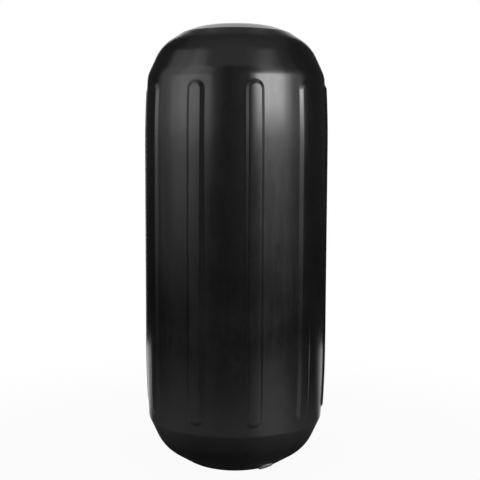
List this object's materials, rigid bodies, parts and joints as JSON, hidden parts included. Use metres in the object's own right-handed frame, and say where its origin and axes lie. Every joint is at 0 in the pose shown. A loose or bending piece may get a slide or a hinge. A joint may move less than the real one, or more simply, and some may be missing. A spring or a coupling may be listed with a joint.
{
  "type": "pneumatic boat fender",
  "caption": "Hollow cylindrical boat fender with lengthwise ribs, domed ends, a rope hole through its centre and an inflation valve.",
  "frame": {"origin": "centre of the lower end face, on the rope hole's axis", "axes": "+Z along the rope hole from the end with the valve to the other end, +X through a rib"},
  "size_m": [0.2166, 0.213, 0.518],
  "materials": {
    "vinyl": "glossy moulded black vinyl",
    "valve_plastic": "satin grey",
    "plug_plastic": "satin grey",
    "seal_rubber": "matt black"
  },
  "bodies": {
    "root": {"fender_body": "vinyl", "valve_body": "valve_plastic", "valve_plug": "plug_plastic", "valve_seal": "seal_rubber"}
  },
  "joints": []
}
